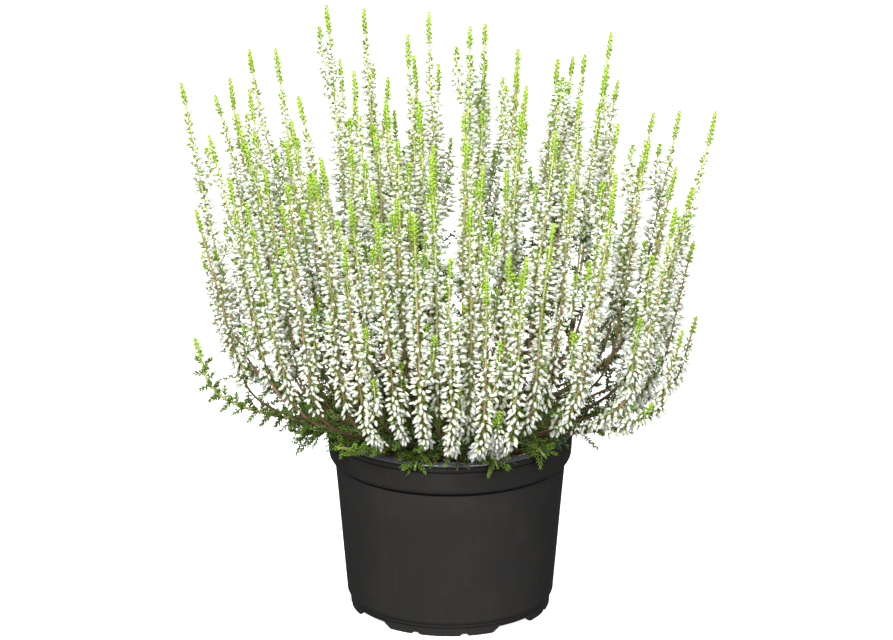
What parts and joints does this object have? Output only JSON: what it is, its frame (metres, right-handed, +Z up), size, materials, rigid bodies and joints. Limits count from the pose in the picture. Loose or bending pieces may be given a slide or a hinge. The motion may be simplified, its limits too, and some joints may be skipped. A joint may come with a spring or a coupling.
{
  "type": "potted heather",
  "caption": "White bud heather with upright flower spikes and lime green tips, growing in a round black nursery pot.",
  "frame": {"origin": "centre of the pot's footprint, on the surface it stands on, on the pot's axis", "axes": "+Z up along the pot's axis, -Y towards the front of the plant, +X to its right as seen from the front"},
  "size_m": [0.2767, 0.2851, 0.326],
  "materials": {
    "black_plastic": "satin black moulded plastic",
    "peat": "damp brown peat crumbs",
    "flower_shoots": "white buds on brown to yellow-green stems with lime green tips",
    "green_leaves": "small green scale leaves"
  },
  "bodies": {
    "root": {"flower_spray_01": "flower_shoots", "flower_spray_02": "flower_shoots", "flower_spray_03": "flower_shoots", "flower_spray_04": "flower_shoots", "flower_spray_05": "flower_shoots", "flower_spray_06": "flower_shoots", "flower_spray_07": "flower_shoots", "flower_spray_08": "flower_shoots", "flower_spray_09": "flower_shoots", "flower_spray_10": "flower_shoots", "flower_spray_11": "flower_shoots", "flower_spray_12": "flower_shoots", "flower_spray_13": "flower_shoots", "flower_spray_14": "flower_shoots", "flower_spray_15": "flower_shoots", "flower_spray_16": "flower_shoots", "flower_spray_17": "flower_shoots", "flower_spray_18": "flower_shoots", "flower_spray_19": "flower_shoots", "flower_spray_20": "flower_shoots", "flower_spray_21": "flower_shoots", "flower_spray_22": "flower_shoots", "flower_spray_23": "flower_shoots", "flower_spray_24": "flower_shoots", "flower_spray_25": "flower_shoots", "flower_spray_26": "flower_shoots", "flower_spray_27": "flower_shoots", "flower_spray_28": "flower_shoots", "flower_spray_29": "flower_shoots", "flower_spray_30": "flower_shoots", "flower_spray_31": "flower_shoots", "flower_spray_32": "flower_shoots", "flower_spray_33": "flower_shoots", "flower_spray_34": "flower_shoots", "flower_spray_35": "flower_shoots", "flower_spray_36": "flower_shoots", "flower_spray_37": "flower_shoots", "leafy_shoot_01": "green_leaves", "leafy_shoot_02": "green_leaves", "leafy_shoot_03": "green_leaves", "leafy_shoot_04": "green_leaves", "leafy_shoot_05": "green_leaves", "pot": "black_plastic", "rim_shoot_01": "green_leaves", "rim_shoot_02": "green_leaves", "rim_shoot_03": "green_leaves", "rim_shoot_04": "green_leaves", "rim_shoot_05": "green_leaves", "rim_shoot_06": "green_leaves", "rim_shoot_07": "green_leaves", "soil": "peat"}
  },
  "joints": []
}
